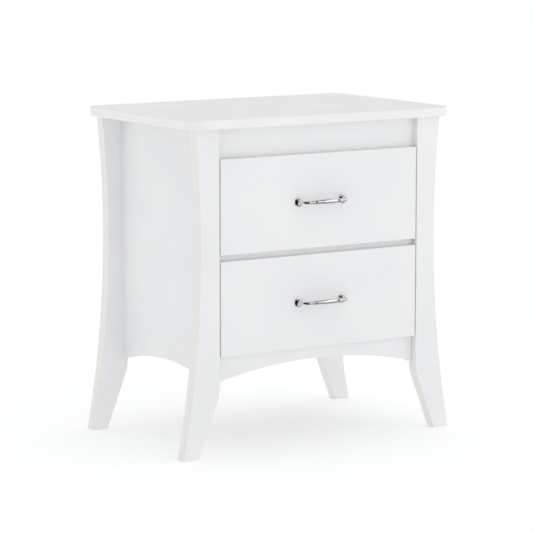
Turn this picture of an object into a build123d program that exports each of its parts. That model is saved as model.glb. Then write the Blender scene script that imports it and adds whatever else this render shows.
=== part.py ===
from build123d import *
import os

# A two-drawer bedside table: a rounded top on four sabre-shaped board legs, panelled
# sides with arched lower edges, an arched front apron and two drawers that run on
# ball-bearing slides.  Millimetres, +Z up, the drawers open towards -Y.  The origin is
# on the floor, under the middle of the whole piece, handles included.

# ---------------------------------------------------------------- driving sizes
HEIGHT = 610.0
TOP_W = 573.0
TOP_D = 389.0
TOP_T = 17.0
TOP_CORNER = 36.0
OVERHANG_FRONT = 20.0
OVERHANG_REAR = 16.0
EDGE_EASE = 1.5
BOARD_EASE = 0.9

HANDLE_REACH = 27.0
HANDLE_CENTRES = 96.0

LEG_T = 22.0
LEG_INNER = 216.0
LEG_SHOULDER = 267.5
LEG_WAIST = 256.0
LEG_WAIST_Z = 375.0
FOOT_OUTER = 293.0
FOOT_INNER = 261.0
KNEE_Z = 115.0
KNEE_R = 80.0

PANEL_OUTER = 224.5
BOARD_T = 15.0
SIDE_ARCH_END_Z = 131.0
SIDE_ARCH_TOP_Z = 153.0

RAIL_RECESS = 13.0
TOP_RAIL_Z = 527.0
MIDDLE_RAIL_Z = (344.0, 375.0)
APRON_TOP_Z = 191.0
APRON_END_Z = 132.5
APRON_MIDDLE_Z = 158.5
REAR_RAIL_H = 40.0
REAR_RAIL_LOW_Z = 150.0
BACK_T = 5.0

FRONT_T = 12.0
FRONT_H = 172.5
FRONT_GAP = 2.0
DRAWER_FRONTS = {"upper": 365.0, "lower": 181.0}

BOX_T = 12.0
BOX_H = 120.0
BOX_LIFT = 22.0
BOX_LENGTH = 312.0
GROOVE_D = 6.0
GROOVE_W = 4.3
GROOVE_Z = 10.0
BOTTOM_T = 4.0

SLIDE_T = 12.7
SLIDE_LENGTH = 300.0
SLIDE_SETBACK = 3.0
SLIDE_HALF_H = 13.5
SLIDE_METAL = 1.2
SLIDE_LIP = 1.1
CAGE_METAL = 0.8
CAGE_LENGTH = 150.0
CAGE_START = 120.0
BALL_R = 1.85
BALL_PITCH = 12.0
BALLS_IN_ROW = 12

FIT = 0.1

# ---------------------------------------------------------------- derived places
TOP_FRONT_Y = -(TOP_D - HANDLE_REACH + OVERHANG_FRONT) / 2
TOP_REAR_Y = TOP_FRONT_Y + TOP_D
FACE_Y = TOP_FRONT_Y + OVERHANG_FRONT
LEG_REAR_Y = TOP_REAR_Y - OVERHANG_REAR
SIDE_FRONT_Y = FACE_Y + LEG_T
SIDE_REAR_Y = LEG_REAR_Y - LEG_T
UNDER_TOP = HEIGHT - TOP_T
PANEL_INNER = PANEL_OUTER - BOARD_T
PANEL_MIDDLE = (PANEL_INNER + PANEL_OUTER) / 2
RAIL_Y = FACE_Y + RAIL_RECESS
REAR_RAIL_Y = SIDE_REAR_Y + BACK_T
BOX_OUTER = PANEL_INNER - SLIDE_T
BOX_INNER = BOX_OUTER - BOX_T
BOX_MIDDLE = (BOX_OUTER + BOX_INNER) / 2
BOX_FRONT_Y = FACE_Y + FRONT_T
BOX_REAR_Y = BOX_FRONT_Y + BOX_LENGTH
SLIDE_FRONT_Y = SIDE_FRONT_Y + SLIDE_SETBACK
HANDLE_X = HANDLE_CENTRES / 2

os.makedirs("parts", exist_ok=True)


def save(piece, name):
    """Label a finished piece and write its own STEP file."""
    piece.part.label = name
    export_step(piece.part, f"parts/{name}.step")


def both_sides(right, name):
    """Write a right-hand piece and its mirror image across the middle plane."""
    with BuildPart() as left:
        mirror(right.part, about=Plane.YZ)
    save(right, f"{name}_right")
    save(left, f"{name}_left")


def block(x, y, z):
    """Add a plain box between the given low and high limits to the current part."""
    centre = ((x[0] + x[1]) / 2, (y[0] + y[1]) / 2, (z[0] + z[1]) / 2)
    with Locations(centre):
        Box(x[1] - x[0], y[1] - y[0], z[1] - z[0])


def cut_at(cutter, places):
    """Cut the same hole shape at every place."""
    with Locations(*places):
        add(cutter, mode=Mode.SUBTRACT)


def facing(point, direction, across=None):
    """A place at a point on a face, with local +Z pointing out of the face."""
    return Plane(origin=point, x_dir=across, z_dir=direction).location


def turned(*profile):
    """A solid of revolution about Z from half-profile points (radius, height)."""
    with BuildPart() as piece:
        with BuildSketch(Plane.XZ):
            with BuildLine():
                Polyline(*profile, close=True)
            make_face()
        revolve(axis=Axis.Z)
    return piece.part


# ---------------------------------------------------------------- fastener shapes
def dowel(radius, length, fit=0.0):
    """A fluted-end dowel lying evenly on both sides of its joint, or its hole."""
    half = length / 2 + fit
    edge = 1.0
    r = radius + fit
    return turned((0, -half), (r - edge, -half), (r, edge - half), (r, half - edge), (r - edge, half), (0, half))


def wood_screw(head_r, shank_r, length, fit=0.0):
    """A countersunk screw, its head flush with the face at height zero, or its hole."""
    sink = head_r - shank_r
    shank = shank_r + fit
    end = length + fit
    tip = 2 * shank_r
    return turned((0, 0), (head_r + fit, 0), (shank, -sink), (shank, tip - end), (0, -end))


def machine_screw(head_r, head_h, shank_r, length):
    """A pan-head screw whose head sits on the face at height zero."""
    return turned(
        (0, head_h), (head_r * 0.6, head_h), (head_r, head_h * 0.45), (head_r, 0), (shank_r, 0),
        (shank_r, -length), (0, -length))


CAM_REACH = 24.0


def cam_disc(radius, depth, bore_r, bore_depth):
    """A cam lock: a drum let into the face, with a radial bore for the bolt's head."""
    slot = 1.2
    with BuildPart() as disc:
        with BuildSketch(Plane.XY):
            Circle(radius)
        extrude(amount=-depth)
        with BuildSketch(Plane.YZ.offset(-bore_r)):
            with Locations((0, -bore_depth)):
                Circle(bore_r)
        extrude(amount=2 * radius, mode=Mode.SUBTRACT)
        with BuildSketch(Plane.XY):
            Rectangle(radius * 1.3, slot)
            Rectangle(slot, radius * 1.3)
        extrude(amount=-slot, mode=Mode.SUBTRACT)
    return disc.part


def cam_bolt(thread_r, thread, shank_r):
    """A cam bolt: thread upwards from the face, shank and ball head down to the cam."""
    head_r = shank_r * 0.9
    neck_r = shank_r * 0.55
    head_low = -CAM_REACH - head_r
    head_high = -CAM_REACH + 0.6 * head_r
    neck_high = head_high + shank_r
    return turned(
        (0, thread), (thread_r - 0.6, thread), (thread_r, thread - 0.6), (thread_r, 0), (shank_r, 0),
        (shank_r, neck_high), (neck_r, neck_high), (neck_r, head_high), (head_r, head_high),
        (head_r, head_low + 1), (head_r - 1, head_low), (0, head_low))


def round_hole(radius, depth):
    """A round cutter from the face at height zero downwards."""
    return turned((0, 0), (radius, 0), (radius, -depth), (0, -depth))


def cam_holes(disc_places, disc_r, depth, bolt_places, bolt_r):
    """Cut the drum pockets in a board's face and the bolt bores in its edge."""
    cut_at(round_hole(disc_r + FIT, depth + FIT), disc_places)
    cut_at(round_hole(bolt_r + FIT, CAM_REACH), bolt_places)


def group(shape, places, name):
    """Write one node that holds the same separate piece at every place."""
    with BuildPart() as pieces:
        with Locations(*places):
            add(shape)
    save(pieces, name)


# Dowels between the front rails and the front legs, the rear rails and the rear legs.
FRONT_DOWEL_R = 3.0
REAR_DOWEL_R = 4.0
DOWEL_LENGTH = 30.0
FRONT_DOWEL_Y = (RAIL_Y + SIDE_FRONT_Y) / 2
REAR_DOWEL_Y = REAR_RAIL_Y + BOARD_T / 2
FRONT_DOWEL_Z = {"top_rail": (543.0, 577.0), "middle_rail": (359.5,), "apron": (150.0, 176.0)}
REAR_DOWEL_Z = {"top_rail": (562.0, 584.0), "bottom_rail": (160.0, 180.0)}
LEG_DOWEL_X = (LEG_INNER + PANEL_OUTER) / 2
LEG_DOWEL_Z = (230.0, 330.0, 430.0, 510.0)


def across_dowels(y, heights):
    """Dowel places at both inner leg edges, for a list of heights."""
    return [facing((s * LEG_INNER, y, z), (s, 0, 0)) for s in (-1, 1) for z in heights]


def side_dowels(y):
    """Dowel places between one pair of legs and the side panels, at one joint plane."""
    return [facing((s * LEG_DOWEL_X, y, z), (0, 1, 0)) for s in (-1, 1) for z in LEG_DOWEL_Z]


front_dowel_hole = dowel(FRONT_DOWEL_R, DOWEL_LENGTH, FIT)
rear_dowel_hole = dowel(REAR_DOWEL_R, DOWEL_LENGTH, FIT)
all_front_z = [z for heights in FRONT_DOWEL_Z.values() for z in heights]
all_rear_z = [z for heights in REAR_DOWEL_Z.values() for z in heights]

# ---------------------------------------------------------------- the top
CAM_R = 7.5
CAM_DEPTH = 12.5
CAM_BOLT_R = 3.4
CAM_THREAD = 11.0
CAM_THREAD_R = 2.5
SIDE_CAM_Y = (-90.0, 105.0)
RAIL_CAM_Y = RAIL_Y + BOARD_T / 2

top_bolts = [Location((s * PANEL_MIDDLE, y, UNDER_TOP)) for s in (-1, 1) for y in SIDE_CAM_Y]
top_bolts.append(Location((0, RAIL_CAM_Y, UNDER_TOP)))
top_cams = [
    facing((s * PANEL_INNER, y, UNDER_TOP - CAM_REACH), (-s, 0, 0), (0, 0, 1))
    for s in (-1, 1) for y in SIDE_CAM_Y]
top_cams.append(facing((0, RAIL_Y + BOARD_T, UNDER_TOP - CAM_REACH), (0, 1, 0), (0, 0, 1)))

with BuildPart() as top_panel:
    with BuildSketch(Plane.XY.offset(UNDER_TOP)):
        with Locations((0, (TOP_FRONT_Y + TOP_REAR_Y) / 2)):
            RectangleRounded(TOP_W, TOP_D, TOP_CORNER)
    extrude(amount=TOP_T)
    outlines = top_panel.faces().sort_by(Axis.Z)[-1].edges() + top_panel.faces().sort_by(Axis.Z)[0].edges()
    fillet(outlines, EDGE_EASE)
    cut_at(turned((0, -1), (CAM_THREAD_R + FIT, -1), (CAM_THREAD_R + FIT, CAM_THREAD), (0, CAM_THREAD)), top_bolts)
save(top_panel, "top_panel")


# ---------------------------------------------------------------- the legs
def leg(front_y):
    """A right-hand leg: a board cut to a sabre outline, its wide faces front and back."""
    with BuildPart() as board:
        with BuildSketch(Plane.XZ.offset(-front_y)):
            with BuildLine():
                ThreePointArc((FOOT_OUTER, 0), (LEG_WAIST, LEG_WAIST_Z), (LEG_SHOULDER, UNDER_TOP))
                Line((LEG_SHOULDER, UNDER_TOP), (LEG_INNER, UNDER_TOP))
                FilletPolyline((LEG_INNER, UNDER_TOP), (LEG_INNER, KNEE_Z), (FOOT_INNER, 0), radius=KNEE_R)
                Line((FOOT_INNER, 0), (FOOT_OUTER, 0))
            make_face()
        extrude(amount=-LEG_T)
        fillet(board.faces().filter_by(Axis.Y).edges(), BOARD_EASE)
    return board


for place, front_y, joint_y in (("front", FACE_Y, SIDE_FRONT_Y), ("rear", SIDE_REAR_Y, SIDE_REAR_Y)):
    rail_dowel_y = FRONT_DOWEL_Y if place == "front" else REAR_DOWEL_Y
    rail_dowel_z = all_front_z if place == "front" else all_rear_z
    rail_hole = front_dowel_hole if place == "front" else rear_dowel_hole
    right_leg = leg(front_y)
    with right_leg:
        cut_at(rail_hole, across_dowels(rail_dowel_y, rail_dowel_z))
        cut_at(front_dowel_hole, side_dowels(joint_y))
    both_sides(right_leg, f"{place}_leg")

# ---------------------------------------------------------------- the side panels
NAIL_X = (PANEL_INNER + LEG_INNER) / 2
NAIL_Z = (210.0, 290.0, 370.0, 450.0, 530.0)
NAIL_R = 0.9
NAIL_LENGTH = 18.0
nails = [facing((s * NAIL_X, REAR_RAIL_Y, z), (0, 1, 0)) for s in (-1, 1) for z in NAIL_Z]
nail_hole = round_hole(NAIL_R + FIT, NAIL_LENGTH + FIT)

SLIDE_SCREW_Y = (25.0, 150.0, 275.0)
SLIDE_HEAD_R = 3.2
SLIDE_SHANK_R = 1.75
OUTER_SCREW_LENGTH = 13.0
INNER_SCREW_LENGTH = 11.0
slide_z = {name: bottom + BOX_LIFT + BOX_H / 2 for name, bottom in DRAWER_FRONTS.items()}
outer_screw_hole = wood_screw(SLIDE_HEAD_R, SLIDE_SHANK_R, OUTER_SCREW_LENGTH, FIT)
inner_screw_hole = wood_screw(SLIDE_HEAD_R, SLIDE_SHANK_R, INNER_SCREW_LENGTH, FIT)
OUTER_WEB_X = PANEL_INNER - SLIDE_METAL
INNER_WEB_X = BOX_OUTER + SLIDE_METAL


def slide_screws(web_x, inwards, heights):
    """Screw places along the slides; inwards is the sign from the web to its open side."""
    return [
        facing((s * web_x, SLIDE_FRONT_Y + y, z), (s * inwards, 0, 0))
        for s in (-1, 1) for y in SLIDE_SCREW_Y for z in heights]


side_middle_y = (SIDE_FRONT_Y + SIDE_REAR_Y) / 2
with BuildPart() as side_panel:
    with BuildSketch(Plane.YZ.offset(PANEL_INNER)):
        with BuildLine():
            ThreePointArc(
                (SIDE_FRONT_Y, SIDE_ARCH_END_Z), (side_middle_y, SIDE_ARCH_TOP_Z), (SIDE_REAR_Y, SIDE_ARCH_END_Z))
            Polyline(
                (SIDE_REAR_Y, SIDE_ARCH_END_Z), (SIDE_REAR_Y, UNDER_TOP), (SIDE_FRONT_Y, UNDER_TOP),
                (SIDE_FRONT_Y, SIDE_ARCH_END_Z))
        make_face()
    extrude(amount=BOARD_T)
    cut_at(front_dowel_hole, side_dowels(SIDE_FRONT_Y) + side_dowels(SIDE_REAR_Y))
    cam_holes(top_cams[:-1], CAM_R, CAM_DEPTH, top_bolts[:-1], CAM_BOLT_R)
    cut_at(nail_hole, nails)
    cut_at(outer_screw_hole, slide_screws(OUTER_WEB_X, -1, slide_z.values()))
both_sides(side_panel, "side_panel")


# ---------------------------------------------------------------- the front rails
def shouldered_rail(low, high):
    """Add a rail whose face reaches the legs and whose back stops at the side panels."""
    block((-LEG_INNER, LEG_INNER), (RAIL_Y, SIDE_FRONT_Y), (low, high))
    block((-PANEL_INNER, PANEL_INNER), (SIDE_FRONT_Y, RAIL_Y + BOARD_T), (low, high))


with BuildPart() as front_top_rail:
    shouldered_rail(TOP_RAIL_Z, UNDER_TOP)
    cut_at(front_dowel_hole, across_dowels(FRONT_DOWEL_Y, FRONT_DOWEL_Z["top_rail"]))
    cam_holes(top_cams[-1:], CAM_R, CAM_DEPTH, top_bolts[-1:], CAM_BOLT_R)
save(front_top_rail, "front_top_rail")

with BuildPart() as front_middle_rail:
    shouldered_rail(*MIDDLE_RAIL_Z)
    cut_at(front_dowel_hole, across_dowels(FRONT_DOWEL_Y, FRONT_DOWEL_Z["middle_rail"]))
save(front_middle_rail, "front_middle_rail")

with BuildPart() as front_apron:
    shouldered_rail(APRON_END_Z, APRON_TOP_Z)
    with BuildSketch(Plane.XZ.offset(-RAIL_Y)):
        with BuildLine():
            ThreePointArc((-LEG_INNER, APRON_END_Z), (0, APRON_MIDDLE_Z), (LEG_INNER, APRON_END_Z))
            Line((LEG_INNER, APRON_END_Z), (-LEG_INNER, APRON_END_Z))
        make_face()
    extrude(amount=-BOARD_T, mode=Mode.SUBTRACT)
    cut_at(front_dowel_hole, across_dowels(FRONT_DOWEL_Y, FRONT_DOWEL_Z["apron"]))
save(front_apron, "front_apron")

# ---------------------------------------------------------------- the back
for rail, low in (("top_rail", UNDER_TOP - REAR_RAIL_H), ("bottom_rail", REAR_RAIL_LOW_Z)):
    with BuildPart() as rear_rail:
        block((-LEG_INNER, LEG_INNER), (REAR_RAIL_Y, REAR_RAIL_Y + BOARD_T), (low, low + REAR_RAIL_H))
        cut_at(rear_dowel_hole, across_dowels(REAR_DOWEL_Y, REAR_DOWEL_Z[rail]))
    save(rear_rail, f"rear_{rail}")

with BuildPart() as back_panel:
    block((-LEG_INNER + FIT, LEG_INNER - FIT), (SIDE_REAR_Y, REAR_RAIL_Y), (REAR_RAIL_LOW_Z, UNDER_TOP - FIT))
    cut_at(nail_hole, nails)
save(back_panel, "back_panel")

NAIL_HEAD_R = 2.0
NAIL_HEAD_H = 0.8
nail = machine_screw(NAIL_HEAD_R, NAIL_HEAD_H, NAIL_R, NAIL_LENGTH)
group(nail, nails, "back_panel_nails")

# ---------------------------------------------------------------- carcase fasteners
group(dowel(FRONT_DOWEL_R, DOWEL_LENGTH), across_dowels(FRONT_DOWEL_Y, all_front_z), "front_rail_dowels")
group(dowel(REAR_DOWEL_R, DOWEL_LENGTH), across_dowels(REAR_DOWEL_Y, all_rear_z), "rear_rail_dowels")
group(
    dowel(FRONT_DOWEL_R, DOWEL_LENGTH), side_dowels(SIDE_FRONT_Y) + side_dowels(SIDE_REAR_Y), "side_panel_dowels")
group(cam_disc(CAM_R, CAM_DEPTH, CAM_BOLT_R + FIT, BOARD_T / 2), top_cams, "top_cam_discs")
group(cam_bolt(CAM_THREAD_R, CAM_THREAD, CAM_BOLT_R), top_bolts, "top_cam_bolts")
group(
    wood_screw(SLIDE_HEAD_R, SLIDE_SHANK_R, OUTER_SCREW_LENGTH), slide_screws(OUTER_WEB_X, -1, slide_z.values()),
    "slide_screws")


# ---------------------------------------------------------------- the slides
def rolled_section(front_y, length, *walls):
    """A right-hand rolled section: rectangles (x limits, z limits) drawn out along Y."""
    with BuildPart() as section:
        with BuildSketch(Plane.XZ.offset(-front_y)):
            for x, z in walls:
                with Locations(((x[0] + x[1]) / 2, (z[0] + z[1]) / 2)):
                    Rectangle(x[1] - x[0], z[1] - z[0])
        extrude(amount=-length)
    return section


OUTER_INSIDE_H = SLIDE_HALF_H - SLIDE_METAL
INNER_HALF_H = 8.0
LIP_X = PANEL_INNER - 9.9
INNER_TIP_X = BOX_OUTER + 8.6
CAGE_WEB_X = PANEL_INNER - 3.1
CAGE_TIP_X = PANEL_INNER - 8.3
BALL_X = PANEL_INNER - 6.1
BALL_Z = (OUTER_INSIDE_H + INNER_HALF_H) / 2
STRIP_HALF_T = 0.3
BALL_HOLE_R = BALL_R + 0.2
cage_front_y = SLIDE_FRONT_Y + CAGE_START
ball_row = [cage_front_y + CAGE_LENGTH / 2 + (i - (BALLS_IN_ROW - 1) / 2) * BALL_PITCH for i in range(BALLS_IN_ROW)]

for name, z0 in slide_z.items():
    outer = rolled_section(
        SLIDE_FRONT_Y, SLIDE_LENGTH,
        ((OUTER_WEB_X, PANEL_INNER), (z0 - SLIDE_HALF_H, z0 + SLIDE_HALF_H)),
        ((LIP_X, OUTER_WEB_X), (z0 + OUTER_INSIDE_H, z0 + SLIDE_HALF_H)),
        ((LIP_X, OUTER_WEB_X), (z0 - SLIDE_HALF_H, z0 - OUTER_INSIDE_H)),
        ((LIP_X, LIP_X + SLIDE_METAL), (z0 + OUTER_INSIDE_H - SLIDE_LIP, z0 + OUTER_INSIDE_H)),
        ((LIP_X, LIP_X + SLIDE_METAL), (z0 - OUTER_INSIDE_H, z0 - OUTER_INSIDE_H + SLIDE_LIP)))
    with outer:
        cut_at(outer_screw_hole, slide_screws(OUTER_WEB_X, -1, (z0,)))
    both_sides(outer, f"{name}_slide_outer")

    inner = rolled_section(
        SLIDE_FRONT_Y, SLIDE_LENGTH,
        ((BOX_OUTER, INNER_WEB_X), (z0 - INNER_HALF_H, z0 + INNER_HALF_H)),
        ((INNER_WEB_X, INNER_TIP_X), (z0 + INNER_HALF_H - SLIDE_METAL, z0 + INNER_HALF_H)),
        ((INNER_WEB_X, INNER_TIP_X), (z0 - INNER_HALF_H, z0 - INNER_HALF_H + SLIDE_METAL)))
    with inner:
        cut_at(inner_screw_hole, slide_screws(INNER_WEB_X, 1, (z0,)))
    both_sides(inner, f"{name}_slide_inner")

    cage = rolled_section(
        cage_front_y, CAGE_LENGTH,
        ((CAGE_WEB_X, CAGE_WEB_X + CAGE_METAL), (z0 - BALL_Z - STRIP_HALF_T, z0 + BALL_Z + STRIP_HALF_T)),
        ((CAGE_TIP_X, CAGE_WEB_X), (z0 + BALL_Z - STRIP_HALF_T, z0 + BALL_Z + STRIP_HALF_T)),
        ((CAGE_TIP_X, CAGE_WEB_X), (z0 - BALL_Z - STRIP_HALF_T, z0 - BALL_Z + STRIP_HALF_T)))
    with cage:
        with Locations(*[(BALL_X, y, z0) for y in ball_row]):
            Cylinder(BALL_HOLE_R, 4 * BALL_Z, mode=Mode.SUBTRACT)
    both_sides(cage, f"{name}_slide_cage")

    with BuildPart() as balls:
        with Locations(*[(s * BALL_X, y, z0 + t * BALL_Z) for s in (-1, 1) for t in (-1, 1) for y in ball_row]):
            Sphere(BALL_R)
    save(balls, f"{name}_slide_balls")

# ---------------------------------------------------------------- the handle
BASE_R = 8.75
BASE_RIM = 1.4
NECK_R = 3.0
NECK_Y = 9.0
ELBOW_R = 11.0
BAR_REACH = 22.0
BAR_MIDDLE_R = HANDLE_REACH - BAR_REACH
BAR_END_R = 4.0
BAR_END_X = 21.0
RING_R = 4.5
RING_W = 1.5
RING_X = (23.2, 26.0)
SWELL_X = 28.5
SWELL_R = 3.7
M4_R = 2.0
HANDLE_HOLE = 9.5


def handle(face_y, z0):
    """A bow handle: trumpet bases, bent arms and a barrel-shaped bar between ring pairs."""
    bar_y = face_y - BAR_REACH
    elbow_y = bar_y + ELBOW_R
    elbow_x = HANDLE_X - ELBOW_R
    bend = ELBOW_R * (1 - 0.5 ** 0.5)
    with BuildPart() as piece:
        # the turned bar, drawn as a half-profile in the level plane through its axis
        with BuildSketch(Plane.XY.offset(z0)):
            with BuildLine():
                Line((-elbow_x, bar_y), (elbow_x, bar_y))
                Line((elbow_x, bar_y), (elbow_x, bar_y - NECK_R))
                Spline((elbow_x, bar_y - NECK_R), (SWELL_X, bar_y - SWELL_R), tangents=((-1, 0), (-1, -0.1)))
                Polyline((SWELL_X, bar_y - SWELL_R), (BAR_END_X, bar_y - BAR_END_R))
                ThreePointArc(
                    (BAR_END_X, bar_y - BAR_END_R), (0, bar_y - BAR_MIDDLE_R), (-BAR_END_X, bar_y - BAR_END_R))
                Polyline((-BAR_END_X, bar_y - BAR_END_R), (-SWELL_X, bar_y - SWELL_R))
                Spline((-SWELL_X, bar_y - SWELL_R), (-elbow_x, bar_y - NECK_R), tangents=((-1, 0.1), (-1, 0)))
                Line((-elbow_x, bar_y - NECK_R), (-elbow_x, bar_y))
            make_face()
        revolve(axis=Axis((0, bar_y, z0), (1, 0, 0)))
        for ring_x in RING_X:
            for s in (-1, 1):
                with BuildSketch(Plane.YZ.offset(s * ring_x)):
                    with Locations((bar_y, z0)):
                        Circle(RING_R)
                extrude(amount=RING_W / 2, both=True)
        for s in (-1, 1):
            # the trumpet base and straight neck
            with BuildSketch(Plane.XY.offset(z0)):
                with BuildLine():
                    Polyline(
                        (s * HANDLE_X, elbow_y), (s * HANDLE_X, face_y), (s * (HANDLE_X + BASE_R), face_y),
                        (s * (HANDLE_X + BASE_R), face_y - BASE_RIM))
                    Spline(
                        (s * (HANDLE_X + BASE_R), face_y - BASE_RIM), (s * (HANDLE_X + NECK_R), face_y - NECK_Y),
                        tangents=((-s, -0.25), (0, -1)))
                    Polyline(
                        (s * (HANDLE_X + NECK_R), face_y - NECK_Y), (s * (HANDLE_X + NECK_R), elbow_y),
                        (s * HANDLE_X, elbow_y))
                make_face()
            revolve(axis=Axis((s * HANDLE_X, face_y, z0), (0, 1, 0)))
            # the bent arm from the neck into the bar
            with BuildLine() as path:
                ThreePointArc(
                    (s * HANDLE_X, elbow_y, z0), (s * (HANDLE_X - bend), bar_y + bend, z0), (s * elbow_x, bar_y, z0))
            with BuildSketch(Plane.XZ.offset(-elbow_y)):
                with Locations((s * HANDLE_X, z0)):
                    Circle(NECK_R)
            sweep(path=path.line)
        cut_at(
            round_hole(M4_R + FIT, HANDLE_HOLE),
            [facing((s * HANDLE_X, face_y, z0), (0, 1, 0)) for s in (-1, 1)])
    return piece


# ---------------------------------------------------------------- the drawers
FRONT_HALF_W = LEG_INNER - FRONT_GAP
BOX_CAM_R = 6.0
BOX_CAM_DEPTH = 9.5
BOX_BOLT_R = 2.6
BOX_THREAD_R = 2.2
BOX_THREAD = 9.5
BOX_CAM_Z = (32.0, 95.0)
BOX_SCREW_Z = (32.0, 95.0)
BOX_SCREW_HEAD_R = 3.8
BOX_SCREW_R = 2.0
BOX_SCREW_LENGTH = 38.0
HANDLE_HEAD_R = 4.0
HANDLE_HEAD_H = 2.4
GROOVE_CLEAR = 0.15


def make_drawer(name, front_low):
    """Write every piece of one drawer, from the height of its front's lower edge."""
    low = front_low + BOX_LIFT
    high = low + BOX_H
    handle_z = front_low + FRONT_H / 2
    groove = (low + GROOVE_Z, low + GROOVE_Z + GROOVE_W)
    back_y = BOX_REAR_Y - BOX_T

    bolts = [
        facing((s * BOX_MIDDLE, BOX_FRONT_Y, low + z), (0, -1, 0)) for s in (-1, 1) for z in BOX_CAM_Z]
    discs = [
        facing((s * BOX_INNER, BOX_FRONT_Y + CAM_REACH, low + z), (-s, 0, 0), (0, -1, 0))
        for s in (-1, 1) for z in BOX_CAM_Z]
    screws = [
        facing((s * BOX_OUTER, BOX_REAR_Y - BOX_T / 2, low + z), (s, 0, 0)) for s in (-1, 1) for z in BOX_SCREW_Z]
    handle_screws = [facing((s * HANDLE_X, BOX_FRONT_Y, handle_z), (0, 1, 0)) for s in (-1, 1)]
    screw_hole = wood_screw(BOX_SCREW_HEAD_R, BOX_SCREW_R, BOX_SCREW_LENGTH, FIT)
    thread_hole = turned(
        (0, -1), (BOX_THREAD_R + FIT, -1), (BOX_THREAD_R + FIT, BOX_THREAD), (0, BOX_THREAD))

    with BuildPart() as front:
        block((-FRONT_HALF_W, FRONT_HALF_W), (FACE_Y, BOX_FRONT_Y), (front_low, front_low + FRONT_H))
        fillet(front.faces().sort_by(Axis.Y)[0].edges(), BOARD_EASE)
        with Locations((0, BOX_FRONT_Y - GROOVE_D / 2, (groove[0] + groove[1]) / 2)):
            Box(2 * (BOX_INNER + GROOVE_D), GROOVE_D, GROOVE_W, mode=Mode.SUBTRACT)
        cut_at(thread_hole, bolts)
        cut_at(round_hole(M4_R + FIT, FRONT_T), handle_screws)
    save(front, f"{name}_drawer_front")

    with BuildPart() as side:
        block((BOX_INNER, BOX_OUTER), (BOX_FRONT_Y, BOX_REAR_Y), (low, high))
        fillet(side.faces().sort_by(Axis.Z)[-1].edges().filter_by(Axis.Y), EDGE_EASE)
        with Locations((BOX_INNER + GROOVE_D / 2, (BOX_FRONT_Y + BOX_REAR_Y) / 2, (groove[0] + groove[1]) / 2)):
            Box(GROOVE_D, BOX_LENGTH, GROOVE_W, mode=Mode.SUBTRACT)
        cam_holes(discs, BOX_CAM_R, BOX_CAM_DEPTH, bolts, BOX_BOLT_R)
        cut_at(screw_hole, screws)
        cut_at(inner_screw_hole, slide_screws(INNER_WEB_X, 1, (slide_z[name],)))
    both_sides(side, f"{name}_drawer_side")

    with BuildPart() as back:
        block((-BOX_INNER, BOX_INNER), (back_y, BOX_REAR_Y), (low, high))
        fillet(back.faces().sort_by(Axis.Z)[-1].edges().filter_by(Axis.X), EDGE_EASE)
        with Locations((0, back_y + GROOVE_D / 2, (groove[0] + groove[1]) / 2)):
            Box(2 * BOX_INNER, GROOVE_D, GROOVE_W, mode=Mode.SUBTRACT)
        cut_at(screw_hole, screws)
    save(back, f"{name}_drawer_back")

    reach = GROOVE_D - GROOVE_CLEAR
    with BuildPart() as bottom:
        block(
            (-BOX_INNER - reach, BOX_INNER + reach), (BOX_FRONT_Y - reach, back_y + reach),
            (groove[0] + GROOVE_CLEAR, groove[0] + GROOVE_CLEAR + BOTTOM_T))
    save(bottom, f"{name}_drawer_bottom")

    save(handle(FACE_Y, handle_z), f"{name}_handle")
    group(
        machine_screw(HANDLE_HEAD_R, HANDLE_HEAD_H, M4_R, FRONT_T + HANDLE_HOLE - 1), handle_screws,
        f"{name}_handle_screws")
    group(
        cam_disc(BOX_CAM_R, BOX_CAM_DEPTH, BOX_BOLT_R + FIT, BOX_T / 2), discs, f"{name}_drawer_cam_discs")
    group(cam_bolt(BOX_THREAD_R, BOX_THREAD - 0.5, BOX_BOLT_R), bolts, f"{name}_drawer_cam_bolts")
    group(wood_screw(BOX_SCREW_HEAD_R, BOX_SCREW_R, BOX_SCREW_LENGTH), screws, f"{name}_drawer_screws")
    group(
        wood_screw(SLIDE_HEAD_R, SLIDE_SHANK_R, INNER_SCREW_LENGTH),
        slide_screws(INNER_WEB_X, 1, (slide_z[name],)), f"{name}_slide_inner_screws")


for drawer_name, front_low in DRAWER_FRONTS.items():
    make_drawer(drawer_name, front_low)
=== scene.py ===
# %% [markdown]
# # A white nightstand with two drawers
#
# The CAD model of this nightstand already knows every size and every movement: which boards
# there are, where they stand, and how far each drawer runs out. This lesson dresses it. The
# boards and handles that people see get smooth surfaces with softened edges, and every
# finish, from lacquer to ball-bearing steel, gets a material that is worked out from noise
# and coordinates. No picture is painted on anything, so the finish holds up from every side.

# %% Load the frame
import math

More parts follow.
